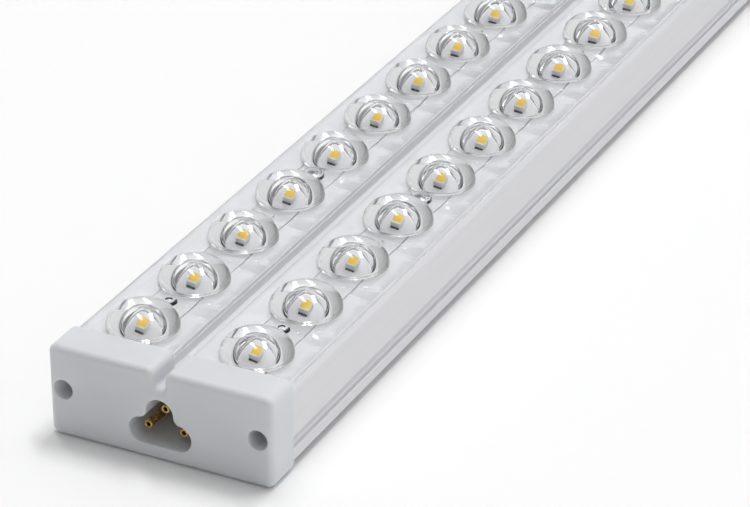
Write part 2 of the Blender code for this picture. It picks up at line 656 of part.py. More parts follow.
def wire(name, radius, mat, route):
    """An insulated wire along a route of (x, distance from the inlet face, z) points."""
    points = thinned(smooth_route([at(*point) for point in route]), 0.22)
    curve = bpy.data.curves.new(name, "CURVE")
    curve.dimensions = "3D"
    curve.bevel_depth = radius * MM
    curve.bevel_resolution = 2
    curve.use_fill_caps = True
    spline = curve.splines.new("POLY")
    spline.points.add(len(points) - 1)
    for control, point in zip(spline.points, points):
        control.co = (*(point * MM), 1.0)
    curve.materials.append(mat)
    made = bpy.data.objects.new(name, curve)
    PARTS.objects.link(made)


def make_wiring():
    """Mains leads to the driver, wires on to the outlet, earth wires and LED leads."""
    tail = PIN_TAIL + 0.3
    far = LENGTH - tail
    for name, side, mat in (("live", 1, WIRE_BROWN), ("neutral", -1, WIRE_BLUE)):
        x, z = side * PIN_LOW[0], PIN_LOW[1]
        wire(f"{name}_lead", 1.0, mat,
             [(x, tail, z), (x, 30, z), (side * 3.4, 60, 6.2), (side * 3.0, 130, 5.2),
              (side * 3.0, 300, 5.2), (side * 2.6, 365, 6.0), (side * 2.5, 383, 10.6),
              (side * 2.5, 389, 11.5), (side * 2.5, 393.5, 11.5)])
        wire(f"{name}_through_wire", 1.0, mat,
             [(side * 7.5, 393.5, 11.5), (side * 7.5, 388, 11.5), (side * 8.6, 380, 9.8),
              (side * 14, 375, 6.9), (side * 19.4, 378, 5.5), (side * 22.3, 388, 5.2),
              (side * 22.5, 410, 5.2), (side * 22.5, 530, 5.2), (side * 21.3, 543, 5.4),
              (side * 14, 551, 6.3), (side * 7, 555, 7.1), (x, 560.5, z), (x, far, z)])
    wire("earth_lead", 1.0, WIRE_EARTH,
         [(1.2, tail, 12.7), (1.5, 26, 12.9), (5.2, 30, 13.6), (10.4, 27.6, 13.8),
          (13.0, 21, 13.3), (13.3, 14.5, 12.9), (14.4, 11.2, 12.8), (16.4, 10.25, 12.8),
          (18.2, 10.25, 12.8)])
    wire("earth_through_wire", 1.0, WIRE_EARTH,
         [(-1.2, tail, 12.7), (-1.4, 28, 12.4), (-8, 44, 9.0), (-18, 66, 5.8), (-25.2, 100, 4.6),
          (-25.6, 140, 4.4), (-25.6, 525, 4.4), (-24.6, 539, 6.8), (-17, 547, 10.3),
          (-7, 553, 12.2), (-1, 558, 12.7), (0, 562, 12.7), (0, far, 12.7)])
    for side, row in ((-1, "left"), (1, "right")):
        for pole, pad, kind, mat in ((6.0, 18.4, "plus", WIRE_RED), (2.0, 12.4, "minus", WIRE_BLACK)):
            shift = pad - pole
            x0, x1 = side * pole, side * pad
            wire(f"led_lead_{row}_{kind}", 0.5, mat,
                 [(x0, 538, 11.5), (x0, 542, 11.6), (x0 + side * 0.12 * shift, 547, 13.4),
                  (x0 + side * 0.5 * shift, 555, 15.0), (x1, 565, 15.4), (x1, 576, 15.4),
                  (x1, 582.2, 16.3), (x1, 585.0, 18.6), (x1, 585.2, 20.6), (x1, 584.0, 22.0),
                  (x1, 582.2, 22.27), (x1, 579.8, 22.27)])


make_extrusion()
make_lens_strips()
make_boards()
make_lens_screws()
make_caps()
make_cap_screws()
make_inlet()
make_outlet()
make_earth_tag()
make_driver()
make_wiring()
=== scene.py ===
# %% [markdown]
# # A linkable LED lens batten
#
# The batten is an aluminium extrusion that carries two rows of clear moulded lenses over two LED
# boards, closed by a white end cap at each end. Its driver and wiring are inside. This lesson dresses
# the CAD model: the parts that show close up are remodelled with finer surfaces, and every part gets
# a finish built from shader nodes. Lengths in the formulas are millimetres, and become metres as a
# mesh is made. X runs across the batten, Y along it from the inlet, and Z up out of the lenses.

import json
import math

import bmesh
import bpy
import numpy as np
from mathutils import Matrix, Vector

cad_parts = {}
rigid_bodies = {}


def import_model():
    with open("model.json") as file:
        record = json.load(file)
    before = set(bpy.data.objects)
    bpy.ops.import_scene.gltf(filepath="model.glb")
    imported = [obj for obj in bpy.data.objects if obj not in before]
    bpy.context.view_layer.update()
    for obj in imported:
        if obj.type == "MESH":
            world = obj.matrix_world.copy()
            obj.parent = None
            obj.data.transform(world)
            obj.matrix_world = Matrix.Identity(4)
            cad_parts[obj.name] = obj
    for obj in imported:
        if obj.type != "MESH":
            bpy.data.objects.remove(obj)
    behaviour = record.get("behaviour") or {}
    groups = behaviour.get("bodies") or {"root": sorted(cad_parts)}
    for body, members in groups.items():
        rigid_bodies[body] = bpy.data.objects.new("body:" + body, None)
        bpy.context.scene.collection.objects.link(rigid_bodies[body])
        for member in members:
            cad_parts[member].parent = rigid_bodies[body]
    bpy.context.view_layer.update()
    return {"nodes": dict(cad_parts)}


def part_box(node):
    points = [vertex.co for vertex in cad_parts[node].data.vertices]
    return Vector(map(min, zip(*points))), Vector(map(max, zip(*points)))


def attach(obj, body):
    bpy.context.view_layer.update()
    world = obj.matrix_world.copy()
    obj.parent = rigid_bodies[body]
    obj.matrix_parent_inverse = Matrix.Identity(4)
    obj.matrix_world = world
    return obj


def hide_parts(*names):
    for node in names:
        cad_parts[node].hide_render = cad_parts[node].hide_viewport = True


for leftover in list(bpy.data.objects):
    bpy.data.objects.remove(leftover)
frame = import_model()

MM = 0.001
nodes = frame["nodes"]


def box_mm(node):
    """Lowest and highest corner of a CAD node, in millimetres."""
    low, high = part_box(node)
    return np.array(low) / MM, np.array(high) / MM


cap_low, cap_high = box_mm("end_cap_inlet")
strip_low, strip_high = box_mm("lens_strip_right")
body_low, body_high = box_mm("extrusion")
FACE = cap_low[1]                            # plane of the inlet's end face
WIDTH, CAP_TOP = cap_high[0] - cap_low[0], cap_high[2]
ROW = (strip_low[0] + strip_high[0]) / 2     # each row lies this far from the middle
END = body_high[1]                           # half length of the extrusion and the strips
print(f"{len(nodes)} nodes, end face at {FACE:.1f} mm, rows at {ROW:.1f} mm, cap top {CAP_TOP:.1f} mm")

# %% [markdown]
# ## The camera
#
# A long lens keeps the perspective of the batten gentle. Its pose comes from three unit vectors: right,
# up and back. Those are the columns of the camera's rotation matrix, which is exact and needs no
# angles.

# %% Camera
camera_data = bpy.data.cameras.new("camera")
camera_data.sensor_width = 36.0
camera_data.lens = 164.8
camera_data.clip_start = 0.05
camera = bpy.data.objects.new("camera", camera_data)
right = Vector((0.89425, 0.44756, -0.00363)).normalized()
back = Vector((0.39587, -0.78713, 0.47298)).normalized()
up = back.cross(right).normalized()
right = up.cross(back)
turn = Matrix((right, up, back)).transposed()
camera.matrix_world = Matrix.Translation((0.3547, -0.8876, 0.4251)) @ turn.to_4x4()
bpy.context.scene.collection.objects.link(camera)
bpy.context.scene.camera = camera
print("camera at", tuple(round(v, 3) for v in camera.location))

# %% [markdown]
# ## From arrays to meshes
#
# Every new piece is a set of patches. A patch is a grid of points, a function of two parameters
# worked out as one numpy array, and its faces join neighbours in the grid. Patches that share an edge
# have the same points there, so welding the points within a micron closes the piece. Flat fills are
# shaded flat, which stops the shading of a rounded edge from running across them.

# %% Patches and pieces


def grid_patch(points, closed=False, smooth=True):
    """A patch from an array of points with shape (rows, columns, 3); closed joins the last column
    to the first. Corner (i, j) of the grid is point i * columns + j."""
    rows, columns = points.shape[:2]
    index = np.arange(rows * columns).reshape(rows, columns)
    if closed:
        index = np.concatenate([index, index[:, :1]], axis=1)
    quads = np.stack([index[:-1, :-1], index[:-1, 1:], index[1:, 1:], index[1:, :-1]], axis=-1)
    return points.reshape(-1, 3), quads.reshape(-1, 4).tolist(), smooth


def flat_fill(outlines, place):
    """The flat region inside the outlines, less any outline nested in another. An outline is an
    array (n, 2), and place turns (n, 2) points into (n, 3)."""
    curve = bpy.data.curves.new("fill", "CURVE")
    curve.dimensions = "2D"
    curve.fill_mode = "BOTH"
    for outline in outlines:
        spline = curve.splines.new("POLY")
        spline.points.add(len(outline) - 1)
        flat = np.zeros((len(outline), 4))
        flat[:, :2], flat[:, 3] = outline, 1.0
        spline.points.foreach_set("co", flat.ravel())
        spline.use_cyclic_u = True
    holder = bpy.data.objects.new("fill", curve)
    mesh = bpy.data.meshes.new_from_object(holder)
    points = np.zeros(len(mesh.vertices) * 3)
    mesh.vertices.foreach_get("co", points)
    faces = [tuple(polygon.vertices) for polygon in mesh.polygons]
    bpy.data.objects.remove(holder)
    bpy.data.curves.remove(curve)
    bpy.data.meshes.remove(mesh)
    return place(points.reshape(-1, 3)[:, :2]), faces, False


def welded(name, patches):
    """One mesh from patches in millimetres. A patch may end with the number of its material."""
    points, faces, smooth, finishes, start = [], [], [], [], 0
    for patch_points, patch_faces, patch_smooth, *number in patches:
        points.append(patch_points * MM)
        faces += [[start + corner for corner in face] for face in patch_faces]
        smooth += [patch_smooth] * len(patch_faces)
        finishes += (number or [0]) * len(patch_faces)
        start += len(patch_points)
    mesh = bpy.data.meshes.new(name)
    mesh.from_pydata(np.concatenate(points), [], faces)
    mesh.polygons.foreach_set("use_smooth", smooth)
    mesh.polygons.foreach_set("material_index", finishes)
    work = bmesh.new()
    work.from_mesh(mesh)
    bmesh.ops.remove_doubles(work, verts=work.verts, dist=1e-6)
    bmesh.ops.dissolve_degenerate(work, edges=work.edges, dist=1e-7)
    bmesh.ops.recalc_face_normals(work, faces=work.faces)
    work.to_mesh(mesh)
    work.free()
    return mesh


def less(mesh, cutter):
    """The mesh without the volume that the cutter takes up."""
    holders = [bpy.data.objects.new("part", mesh), bpy.data.objects.new("cutter", cutter)]
    for holder in holders:
        bpy.context.scene.collection.objects.link(holder)
    cut = holders[0].modifiers.new("cut", "BOOLEAN")
    cut.operation, cut.solver, cut.object = "DIFFERENCE", "EXACT", holders[1]
    solid = holders[0].evaluated_get(bpy.context.evaluated_depsgraph_get())
    result = bpy.data.meshes.new_from_object(solid)
    for holder in holders:
        bpy.data.objects.remove(holder)
    return result


def make_piece(name, patches, materials, replaced=(), sharp=35.0, holes=()):
    """Weld patches into one piece that rides with the batten, less what the patches of its holes
    enclose."""
    mesh = welded(name, patches)
    if holes:
        mesh = less(mesh, welded("holes", holes))
        mesh.name = name
        mesh.materials.clear()
    check = bmesh.new()
    check.from_mesh(mesh)
    open_edges = sum(1 for edge in check.edges if len(edge.link_faces) != 2)
    check.free()
    mesh.set_sharp_from_angle(angle=math.radians(sharp))
    for material in np.atleast_1d(materials):
        mesh.materials.append(material)
    made = bpy.data.objects.new(name, mesh)
    bpy.context.scene.collection.objects.link(made)
    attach(made, "root")
    if replaced:
        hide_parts(*replaced)
    print(f"{name}: {len(mesh.polygons)} faces, {open_edges} open edges")
    return made


def turned(profile, sides, centre=(0.0, 0.0, 0.0), axis="Z"):
    """A surface of revolution: each (radius, height) of the profile becomes a circle of points
    (r cos a, r sin a, h), turned so that the height runs along the axis."""
    profile = np.asarray(profile, float)
    angle = np.linspace(0, 2 * np.pi, sides, endpoint=False)
    r, h = profile[:, :1], np.repeat(profile[:, 1:], sides, axis=1)
    u, v = r * np.cos(angle), r * np.sin(angle)
    grid = {"Z": (u, v, h), "Y": (u, h, v), "-Y": (u, -h, v)}[axis]
    return np.stack(grid, axis=-1) + np.asarray(centre, float)


def repeated(points, places):
    """Copies of a grid of points at several places: an array (places, rows, columns, 3)."""
    return points[None] + np.asarray(places, float)[:, None, None, :]


# %% [markdown]
# ## Building finishes
#
# Each finish is a Principled shader with a little detail from noise in Object coordinates. Numbers that
# are the same all over a surface are set on the shader's own sockets. Only what varies is linked.

# %% Helpers for shader nodes


def finish(name, colour, roughness, metallic=0.0, **sockets):
    """A Principled material with plain values. Returns the material, its tree and its shader."""
    material = bpy.data.materials.new(name)
    material.use_nodes = True
    tree = material.node_tree
    shader = tree.nodes["Principled BSDF"]
    shader.inputs["Base Color"].default_value = (*colour, 1.0)
    shader.inputs["Roughness"].default_value = roughness
    shader.inputs["Metallic"].default_value = metallic
    for socket, value in sockets.items():
        shader.inputs[socket.replace("_", " ")].default_value = value
    material.diffuse_color = (*colour, 1.0)
    return material, tree, shader


def noise(tree, scale, detail=3.0, stretch=(1.0, 1.0, 1.0), roughness=0.55):
    """Noise in Object coordinates; stretch multiplies the frequency along X, Y and Z."""
    where = tree.nodes.new("ShaderNodeTexCoord")
    mapping = tree.nodes.new("ShaderNodeMapping")
    mapping.inputs["Scale"].default_value = stretch
    texture = tree.nodes.new("ShaderNodeTexNoise")
    texture.inputs["Scale"].default_value = scale
    texture.inputs["Detail"].default_value = detail
    texture.inputs["Roughness"].default_value = roughness
    tree.links.new(where.outputs["Object"], mapping.inputs["Vector"])
    tree.links.new(mapping.outputs["Vector"], texture.inputs["Vector"])
    return texture.outputs["Fac"]


def spread(tree, value, low, high, start=0.3, end=0.7):
    """Map a noise value onto a range of numbers."""
    ranged = tree.nodes.new("ShaderNodeMapRange")
    ranged.inputs["From Min"].default_value = start
    ranged.inputs["From Max"].default_value = end
    ranged.inputs["To Min"].default_value = low
    ranged.inputs["To Max"].default_value = high
    tree.links.new(value, ranged.inputs["Value"])
    return ranged.outputs["Result"]


def tint(tree, value, first, second, start=0.3, end=0.7):
    """Blend two colours by a noise value."""
    ramp = tree.nodes.new("ShaderNodeValToRGB")
    ramp.color_ramp.elements[0].position = start
    ramp.color_ramp.elements[1].position = end
    ramp.color_ramp.elements[0].color = (*first, 1.0)
    ramp.color_ramp.elements[1].color = (*second, 1.0)
    tree.links.new(value, ramp.inputs["Fac"])
    return ramp.outputs["Color"]


def bump(tree, shader, height, distance, strength=1.0):
    """Small relief from a noise value; distance is the height of the relief in millimetres."""
    relief = tree.nodes.new("ShaderNodeBump")
    relief.inputs["Strength"].default_value = strength
    relief.inputs["Distance"].default_value = distance * MM
    tree.links.new(height, relief.inputs["Height"])
    tree.links.new(relief.outputs["Normal"], shader.inputs["Normal"])


def textured(name, light, dark, roughness, scale, relief, metallic=0.0, stretch=(1, 1, 1), **sockets):
    """A finish whose colour, roughness and relief all follow noise at one scale."""
    material, tree, shader = finish(name, light, roughness[0], metallic, **sockets)
    grain = noise(tree, scale, stretch=stretch)
    tree.links.new(tint(tree, grain, dark, light), shader.inputs["Base Color"])
    tree.links.new(spread(tree, grain, *roughness), shader.inputs["Roughness"])
    bump(tree, shader, grain, relief)
    return material


# %% [markdown]
# ## Clear polycarbonate
#
# The lens strips are clear, with an index of refraction of 1.50. The moulding leaves the surface
# slightly wavy, so a slow noise tilts the surface normal. The long edges and the ends of a strip are
# frosted instead. A path tracer sends few light paths through a lens, so shadow rays pass straight
# through, dimmed by a given share.

# %% Clear polycarbonate
LENS_INDEX, LIGHT_SHARE = 1.50, 0.48


def lets_light_through(tree, shader, share):
    """Mix in a Transparent shader for shadow rays only, so that lamps reach what is behind."""
    path = tree.nodes.new("ShaderNodeLightPath")
    open_shader = tree.nodes.new("ShaderNodeBsdfTransparent")
    open_shader.inputs["Color"].default_value = (share, share, share, 1.0)
    mix = tree.nodes.new("ShaderNodeMixShader")
    tree.links.new(path.outputs["Is Shadow Ray"], mix.inputs["Fac"])
    tree.links.new(shader.outputs[0], mix.inputs[1])
    tree.links.new(open_shader.outputs[0], mix.inputs[2])
    tree.links.new(mix.outputs[0], tree.nodes["Material Output"].inputs["Surface"])


clear, tree, shader = finish("clear_polycarbonate", (0.985, 0.99, 1.0), 0.02,
                             Transmission_Weight=1.0, IOR=LENS_INDEX)
bump(tree, shader, noise(tree, 180.0, 1.0), 0.03)
lets_light_through(tree, shader, LIGHT_SHARE)
cut_edge, tree, shader = finish("frosted_polycarbonate", (0.84, 0.85, 0.87), 0.45,
                                Transmission_Weight=0.2, IOR=LENS_INDEX)
bump(tree, shader, noise(tree, 2500.0, 2.0), 0.02)
lets_light_through(tree, shader, LIGHT_SHARE)
print("clear and frosted polycarbonate made")

# %% [markdown]
# ## White moulded plastic
#
# The end caps are a satin white plastic with a little depth: light enters and spreads, so the edges
# look lighter than the middle of a face. Subsurface scattering with a radius of a few millimetres
# does that. A fine spark-eroded texture breaks up the gloss.

# %% White moulded plastic
cap_white, tree, shader = finish("cap_white_plastic", (0.71, 0.73, 0.76), 0.42,
                                 Subsurface_Weight=0.45, Subsurface_Scale=0.004,
                                 Specular_IOR_Level=0.45)
shader.inputs["Subsurface Radius"].default_value = (1.0, 0.95, 0.9)
bump(tree, shader, noise(tree, 2600.0, 2.0), 0.012)
tree.links.new(spread(tree, noise(tree, 60.0), 0.38, 0.47), shader.inputs["Roughness"])
tree.links.new(tint(tree, noise(tree, 45.0), (0.68, 0.70, 0.73), (0.71, 0.725, 0.745)),
               shader.inputs["Base Color"])
print("white plastic made")

# %% [markdown]
# ## Satin anodised aluminium
#
# The die leaves fine straight lines along an extrusion, and anodising turns its shine to satin. The
# noise is therefore stretched along Y, where its frequency is under a hundredth of that across.

# %% Satin anodised aluminium
aluminium, tree, shader = finish("satin_anodised_aluminium", (0.75, 0.75, 0.77), 0.48, 0.15)
lines = noise(tree, 2200.0, 4.0, stretch=(1.0, 0.006, 1.0))
tree.links.new(tint(tree, lines, (0.715, 0.715, 0.74), (0.775, 0.775, 0.795)),
               shader.inputs["Base Color"])
tree.links.new(spread(tree, lines, 0.42, 0.56), shader.inputs["Roughness"])
bump(tree, shader, lines, 0.003)
print("aluminium made")

# %% [markdown]
# ## The end caps
#
# A cap is a shell about 2 mm thick. Its outer skin is one profile carried round the outline: a quarter
# circle from the end face, a straight side, a small bevel and the back rim. The outline includes the
# notch, so the notch gets the same soft edge. The cloverleaf mouth, which runs into a sleeve, is part
# of the skin. The two screw holes reach into the rounded edge at the sides, so they are cut out of the
# finished shell instead.

# %% Outlines of the cap


def arc(centre, radius, start, end, steps):
    """Points centre + radius (cos a, sin a) between two angles in degrees."""
    a = np.radians(np.linspace(start, end, steps + 1))
    return np.stack([centre[0] + radius * np.cos(a), centre[1] + radius * np.sin(a)], axis=-1)


def mirrored(half):
    """Close a right half outline with its mirror image in X = 0, less doubled points."""
    other = half[::-1] * np.array([-1.0, 1.0])
    keep = np.abs(other[:, 0]) > 1e-6
    return np.concatenate([half, other[keep]])


NOTCH_HALF, NOTCH_FLOOR, NOTCH_LIP = 1.45, 19.45, 2.1
FLOOR_ROUND, CORNER_ROUND, CAP_ROUND = 0.8, 2.2, 1.7


def cap_outline(inset):
    """The cap's outline with its notch, moved in by an inset that keeps to the arcs' centres."""
    half, top, out = WIDTH / 2, CAP_TOP, CORNER_ROUND - inset
    notch = arc((NOTCH_HALF - FLOOR_ROUND, NOTCH_FLOOR + FLOOR_ROUND), FLOOR_ROUND + inset, -90, 0, 6)
    lip = arc((NOTCH_HALF + NOTCH_LIP, top - NOTCH_LIP), NOTCH_LIP - inset, 180, 90, 8)
    upper = arc((half - CORNER_ROUND, top - CORNER_ROUND), out, 90, 0, 8)
    lower = arc((half - CORNER_ROUND, CORNER_ROUND), out, 0, -90, 8)
    middle_top, middle_low = [[0.0, NOTCH_FLOOR - inset]], [[0.0, inset]]
    return mirrored(np.concatenate([middle_top, notch, lip, upper, lower, middle_low]))


print("cap outline has", len(cap_outline(0.0)), "points")

# %% [markdown]
# The cloverleaf mouth is three round lobes joined by concave arcs. The centre of each concave arc is
# as far from both lobe centres as the radii together, which makes every join tangent. An offset of
# the outline only changes the radii.

# %% Cloverleaf outline
LOBE_TOP, LOBE_TOP_R = np.array([0.0, 12.9]), 3.65
LOBE_LOW, LOBE_LOW_R = np.array([4.9, 7.4]), 3.45
LOBE_FILLET = 2.0


def heading(start, end):
    """Direction from one point to another, in degrees."""
    return math.degrees(math.atan2(end[1] - start[1], end[0] - start[0]))


def cloverleaf(offset, fine=3):
    """Outline of the mouth, grown by an offset; fine sets the number of points on its arcs."""
    across = LOBE_LOW - LOBE_TOP
    span = np.linalg.norm(across)
    reach_top, reach_low = LOBE_TOP_R + LOBE_FILLET, LOBE_LOW_R + LOBE_FILLET
    along = (reach_top ** 2 - reach_low ** 2 + span ** 2) / (2 * span)
    unit = across / span
    side = np.array([-unit[1], unit[0]])
    centre = LOBE_TOP + unit * along + side * math.sqrt(reach_top ** 2 - along ** 2)
    low = arc(LOBE_LOW, LOBE_LOW_R + offset, -90, heading(LOBE_LOW, centre), 8 * fine)
    neck = arc(centre, LOBE_FILLET - offset, heading(centre, LOBE_LOW) + 360,
               heading(centre, LOBE_TOP), 3 * fine)
    top = arc(LOBE_TOP, LOBE_TOP_R + offset, heading(LOBE_TOP, centre), 90, 4 * fine)
    return mirrored(np.concatenate([low, neck[1:-1], top]))


print("mouth is", np.ptp(cloverleaf(0.0), axis=0).round(1), "mm")

# %% [markdown]
# A carried outline is the same outline at several insets and depths, so it is a grid of points: one
# row for each step of the profile, one column for each point of the outline.

# %% The cap's shell
CAP_DEPTH = box_mm("extrusion")[0][1] - 0.25 - FACE
PORT = np.array([26.1, 12.8])
HOLE_R, BORE_R, HOLE_DEPTH, BORE_END = 2.55, 1.6, 7.2, CAP_DEPTH - 1.05
SLEEVE_END, WALL_DEPTH, FLAT = 18.0, 2.8, 0.2


def at_depth(depth):
    """A function that stands (n, 2) points up at a distance in from the end face."""
    return lambda flat: np.insert(flat, 1, FACE + depth, axis=1)


def carried(outline, profile):
    """Rows of outline(offset) at a depth, one row for each (offset, depth) of the profile."""
    return np.stack([at_depth(depth)(outline(offset)) for offset, depth in profile])


def rim(radius, steps=8):
    """Quarter circle (radius - radius sin a, radius - radius cos a), after a short flat."""
    a = np.radians(np.linspace(0, 90, steps + 1))
    curve = np.stack([radius - radius * np.sin(a), radius - radius * np.cos(a)], axis=-1)
    return np.concatenate([[[radius + FLAT, 0.0]], curve])


def circle(centre, radius, sides=40):
    """A round outline."""
    return arc(centre, radius, 0, 360, sides)[:-1]


def pocket_outline(_=0.0):
    """The hollow behind the end wall, which steps down under the notch."""
    return mirrored(np.array([[0.0, 17.95], [3.6, 17.95], [3.6, 22.9], [22.0, 22.9], [22.0, 2.2],
                              [0.0, 2.2]]))


def cap_patches():
    """Skin, mouth, sleeve and flats of one end cap."""
    skin = np.concatenate([rim(CAP_ROUND), [[0.0, CAP_DEPTH - 0.3], [0.09, CAP_DEPTH - 0.09],
                                            [0.3, CAP_DEPTH]]])
    patches = [grid_patch(carried(cap_outline, skin), closed=True)]
    rebate = [(0.3, CAP_DEPTH), (1.0, CAP_DEPTH), (1.0, BORE_END)]
    patches.append(grid_patch(carried(cap_outline, rebate), closed=True, smooth=False))
    mouth = np.concatenate([rim(0.35, 4), [[0.0, SLEEVE_END]]])
    patches.append(grid_patch(carried(cloverleaf, mouth), closed=True))
    sleeve = [(0.0, SLEEVE_END), (0.8, SLEEVE_END), (0.8, WALL_DEPTH)]
    patches.append(grid_patch(carried(cloverleaf, sleeve), closed=True))
    walls = [(0.0, BORE_END), (0.0, WALL_DEPTH)]
    patches.append(grid_patch(carried(pocket_outline, walls), closed=True, smooth=False))
    front = [cap_outline(CAP_ROUND + FLAT), cloverleaf(0.35 + FLAT)]
    patches.append(flat_fill(front, at_depth(0.0)))
    patches.append(flat_fill([cap_outline(1.0), pocket_outline()], at_depth(BORE_END)))
    patches.append(flat_fill([pocket_outline(), cloverleaf(0.8)], at_depth(WALL_DEPTH)))
    return patches


HOLE_ROUND, PAST = 0.25, 1.0


def screw_holes():
    """The two stepped holes, with a rounded mouth, that run right through the cap and past it."""
    mouth = rim(HOLE_ROUND, 3)[1:] + (HOLE_R, 0.0)
    outside = [[0.0, -PAST], [HOLE_R + HOLE_ROUND, -PAST]]
    inside = [[HOLE_R, HOLE_DEPTH], [BORE_R, HOLE_DEPTH], [BORE_R, BORE_END + PAST],
              [0.0, BORE_END + PAST]]
    profile = np.concatenate([outside, mouth, inside])
    return [grid_patch(turned(profile, 40, (side * PORT[0], FACE, PORT[1]), "Y"), closed=True)
            for side in (-1, 1)]


def turned_round(patches):
    """The same patches turned half a turn about Z, for the far end of the batten."""
    return [(points * (-1, -1, 1), *rest) for points, *rest in patches]


inlet_cap, inlet_holes = cap_patches(), screw_holes()
make_piece("end_cap_inlet_skin", inlet_cap, cap_white, ["end_cap_inlet"],
           holes=inlet_holes)
make_piece("end_cap_outlet_skin", turned_round(inlet_cap), cap_white,
           ["end_cap_outlet"], holes=turned_round(inlet_holes))

# %% [markdown]
# ## The extrusion
#
# The section has a foot flange, a groove with a sloped rib, a flat wall, a shoulder under the lens
# strip, and channels in the top for the boards, with a valley between the rows. A die can't cut a
# perfectly sharp corner, so each corner gets a tiny fillet: a quadratic Bezier arc,
# (1-s)^2 A + 2s(1-s) P + s^2 B, from a point A before the corner P to a point B after it. These
# fillets are what catch the light in thin bright lines.

# %% Extrusion


def filleted(outline, radius=0.22, steps=3):
    """Every corner of a closed outline rounded, as whole arrays."""
    before, after = np.roll(outline, 1, axis=0) - outline, np.roll(outline, -1, axis=0) - outline
    long_before = np.linalg.norm(before, axis=1, keepdims=True)
    long_after = np.linalg.norm(after, axis=1, keepdims=True)
    start = outline + before / long_before * np.minimum(radius, 0.4 * long_before)
    end = outline + after / long_after * np.minimum(radius, 0.4 * long_after)
    s = np.linspace(0, 1, steps + 1)[None, :, None]
    curve = ((1 - s) ** 2 * start[:, None] + 2 * s * (1 - s) * outline[:, None]
             + s ** 2 * end[:, None])
    return curve.reshape(-1, 2)


WALL_X, DECK, BED, VALLEY, VALLEY_HALF = 29.7, 21.6, 19.75, 19.45, 2.1
SHOULDER_X, BED_HALF = ROW + 13.27, 5.75


def body_outline():
    """The outside of the extrusion's section."""
    foot = arc((28.5, 2.9), 1.2, -90, 0, 6)
    side = [(WALL_X, 5.4), (28.9, 5.4), (28.9, 6.6), (29.5, 6.6), (29.5, 7.1), (28.9, 7.9),
            (28.9, 8.8), (WALL_X, 8.8), (WALL_X, 20.3), (29.45, 20.8), (SHOULDER_X, DECK)]
    top = [(ROW + BED_HALF, DECK), (ROW + BED_HALF, BED), (ROW - BED_HALF, BED),
           (ROW - BED_HALF, DECK), (VALLEY_HALF, DECK), (VALLEY_HALF, VALLEY)]
    sharp = mirrored(np.concatenate([foot[-1:], side, top]))
    soft = filleted(sharp)
    keep = (soft[:, 1] > 3.2) & (soft[:, 0] > 0)
    return mirrored(np.concatenate([foot, soft[keep]]))


def hollow_outline():
    """The hollow inside it, with lightening pockets and a C-shaped screw port at each side."""
    side_x, port_r, hole_r = 28.2, 2.9, 1.35
    meet = math.degrees(math.acos((side_x - PORT[0]) / port_r))
    half = np.concatenate([[[side_x, 2.9]], arc(PORT, port_r, -meet, -152, 12),
                           arc(PORT, hole_r, -140, 140, 20), arc(PORT, port_r, 152, meet, 12),
                           [[side_x, 20.1], [22.6, 20.1], [22.6, 18.3], [8.2, 18.3], [8.2, 20.1],
                            [3.6, 20.1], [3.6, 18.0]]])
    return mirrored(half)


def drawn(outline, stations):
    """An outline carried straight along Y: one row of points for each station."""
    return np.stack([np.insert(outline, 1, y, axis=1) for y in stations])


stations = np.linspace(-END, END, 9)
section = [body_outline(), hollow_outline()]
ends = [flat_fill(section, lambda flat, y=y: np.insert(flat, 1, y, axis=1)) for y in (-END, END)]
make_piece("extrusion_skin",
           [grid_patch(drawn(body_outline(), stations), closed=True),
            grid_patch(drawn(hollow_outline(), stations), closed=True), *ends],
           aluminium, ["extrusion"], sharp=50.0)

# %% [markdown]
# ## The lens strips
#
# A strip is one clear moulding. Its top is a plate with a dome over each LED, and its underside has an
# air space under each dome. The strip is cut into rectangular cells, one round each lens and one in
# each gap. Inside a cell, rings go out from the centre, and the last ring is the cell's border, whose
# points match those of the next cell.
#
# The dome's profile is a superellipse, (r/R)^p + (z/H)^p = 1 with p a little over 2, so that its sides
# are a bit fuller than an ellipse's, and a small step joins it to the plate. The air space has p = 1.5,
# which is a little more pointed than an ellipse, and a shallow ring-shaped groove goes round it.

# %% Cells of a lens strip
PITCH, LENSES = 25.0, 23
LENS_Y = (np.arange(LENSES) - (LENSES - 1) / 2) * PITCH
GAP_Y = (LENS_Y[:-1] + LENS_Y[1:]) / 2
PLATE_LOW, PLATE_TOP = strip_low[2], 22.95
PLATE_HALF, SOFT_EDGE = (strip_high[0] - strip_low[0]) / 2, 0.22
LENS_HALF = END - LENS_Y[-1]
GAP_HALF = PITCH / 2 - LENS_HALF
DOME_R, DOME_H, DOME_FULL = 9.0, strip_high[2] - PLATE_TOP, 2.15
CAVITY_R, CAVITY_H, CAVITY_FULL = 4.4, 4.2, 1.5
ACROSS, ALONG, GAP_ALONG = 32, 16, 6
SCREW_GAPS, BOSS_GAPS, GATE_GAPS = (4, 12, 19), (1, 22), (3, 8, 15, 20)


def superellipse(radius, height, fullness, rings):
    """Points (R cos(a)^(2/p), H sin(a)^(2/p)) from the top of a dome down to its rim."""
    a = np.linspace(np.pi / 2, 0, rings + 1)
    c, s = np.abs(np.cos(a)), np.sin(a)
    c[0] = 0.0
    return np.stack([radius * c ** (2 / fullness), height * s ** (2 / fullness)], axis=-1)


def border(half_x, half_y, across, along):
    """Points round a rectangle: up its right side, back along the top, and so on."""
    x, y = half_x * np.linspace(-1, 1, across + 1), half_y * np.linspace(-1, 1, along + 1)
    sides = [(np.full(along, half_x), y[:-1]), (x[:0:-1], np.full(across, half_y)),
             (np.full(along, -half_x), y[:0:-1]), (x[:-1], np.full(across, -half_y))]
    return np.concatenate([np.stack(side, axis=-1) for side in sides])


